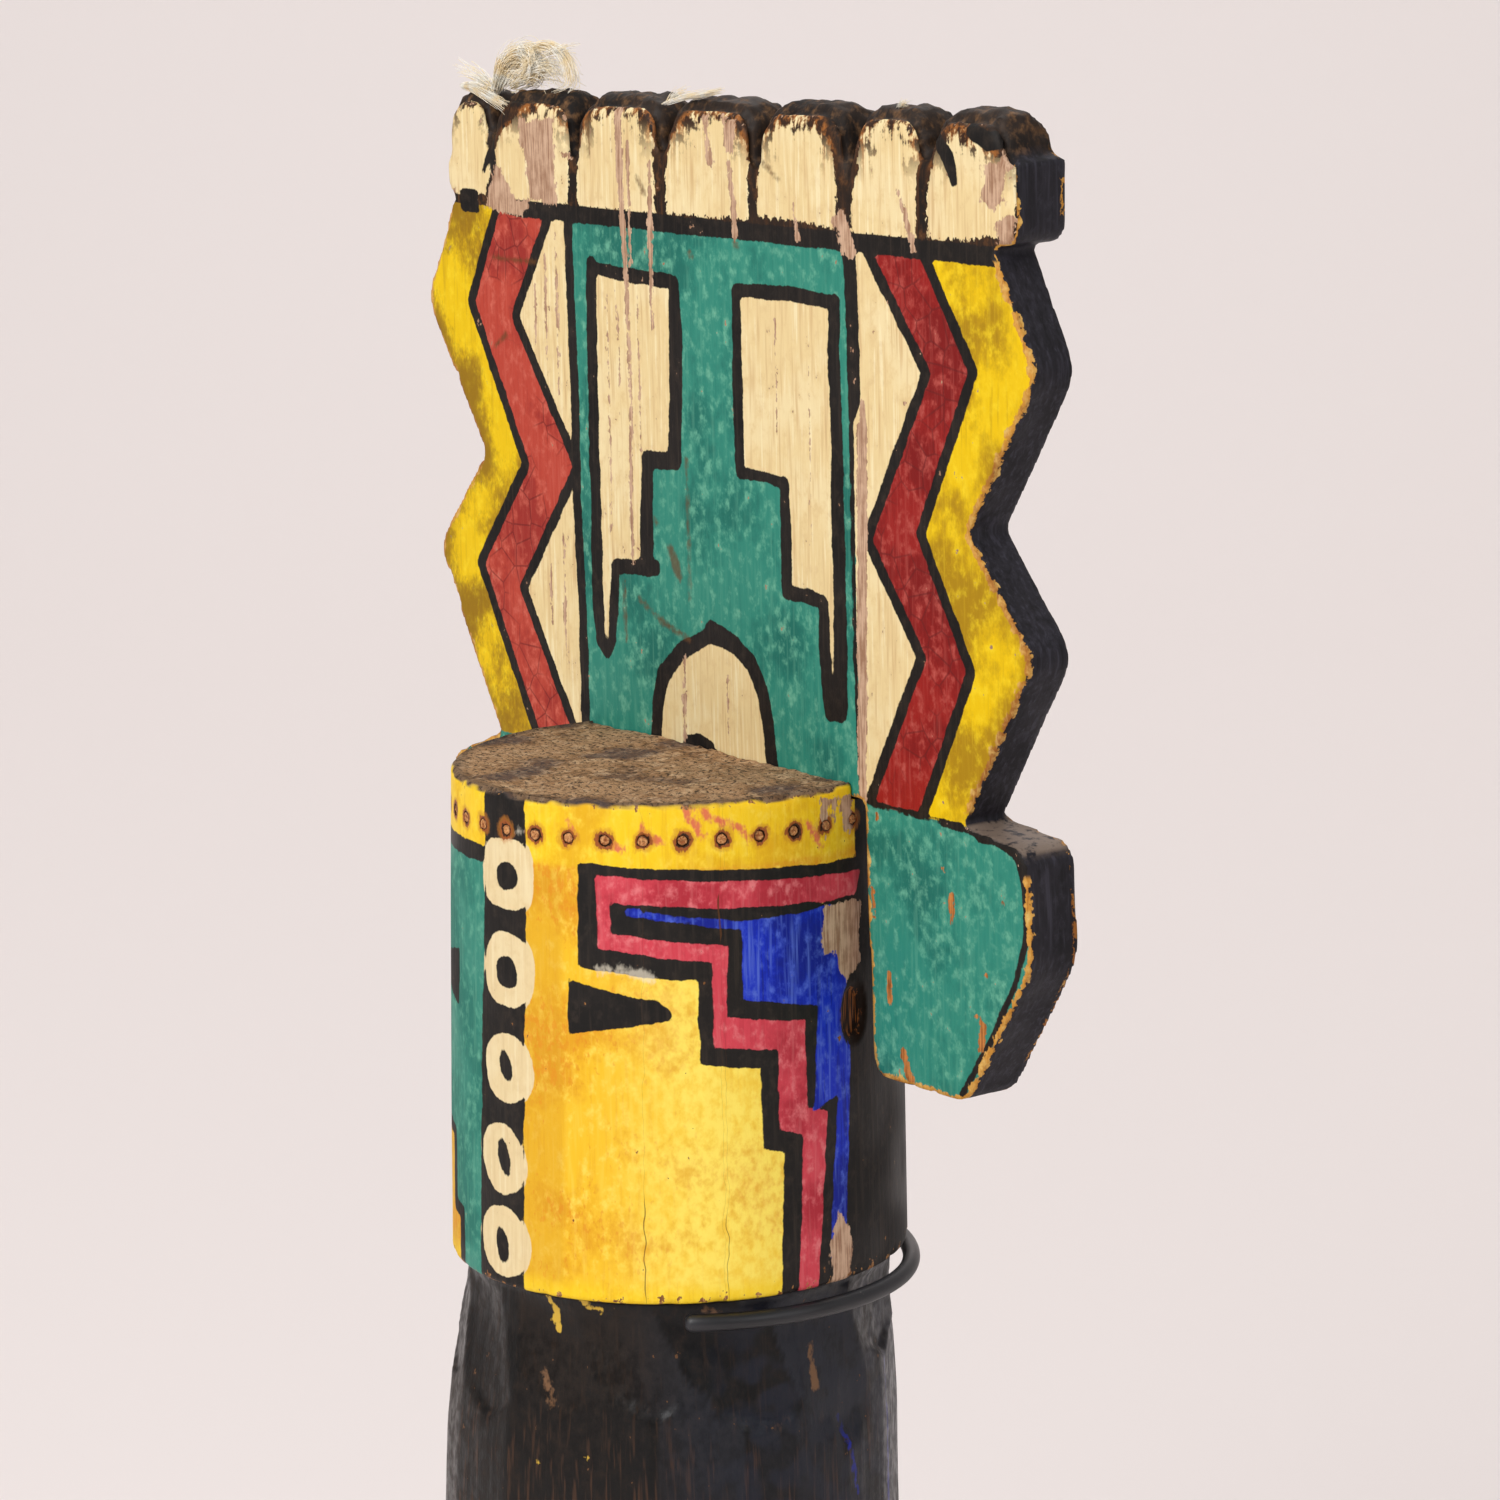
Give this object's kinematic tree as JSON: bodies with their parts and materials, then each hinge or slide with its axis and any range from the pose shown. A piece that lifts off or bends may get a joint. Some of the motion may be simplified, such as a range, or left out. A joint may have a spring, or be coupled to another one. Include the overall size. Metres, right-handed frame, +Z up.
{
  "type": "prayer stick doll",
  "caption": "Carved and painted round wooden stick with a cylindrical masked head, a flat scalloped and zigzag-edged board headdress with ears, in a wire cradle on a square foot.",
  "frame": {"origin": "middle of the stand plate's underside, on the surface it stands on", "axes": "+Z up along the stick, -Y the side the face looks to, +X the face's own left side and the viewer's right"},
  "size_m": [0.1774, 0.12, 0.4713],
  "materials": {
    "painted_stick": "matt, worn black body; head in yellow, turquoise, red, blue and black; grey dusty top",
    "painted_board": "matt hand-painted turquoise, cream, red, yellow and black with bare wood streaks and chipped edges",
    "twig": "raw broken twig ends",
    "feather_down": "soft off-white down",
    "black_steel": "satin black paint on steel"
  },
  "bodies": {
    "root": {"carved_stick": "painted_stick", "tableta_board": "painted_board", "down_tuft": "feather_down", "cradle_wire": "black_steel", "stand_rod": "black_steel", "stand_plate": "black_steel", "rim_peg_01": "twig", "rim_peg_02": "twig", "rim_peg_03": "twig", "rim_peg_04": "twig", "rim_peg_05": "twig", "rim_peg_06": "twig", "rim_peg_07": "twig", "rim_peg_08": "twig", "rim_peg_09": "twig", "rim_peg_10": "twig", "rim_peg_11": "twig", "rim_peg_12": "twig", "rim_peg_13": "twig", "rim_peg_14": "twig", "rim_peg_15": "twig", "rim_peg_16": "twig", "rim_peg_17": "twig", "rim_peg_18": "twig", "rim_peg_19": "twig", "rim_peg_20": "twig", "rim_peg_21": "twig", "rim_peg_22": "twig"}
  },
  "joints": []
}
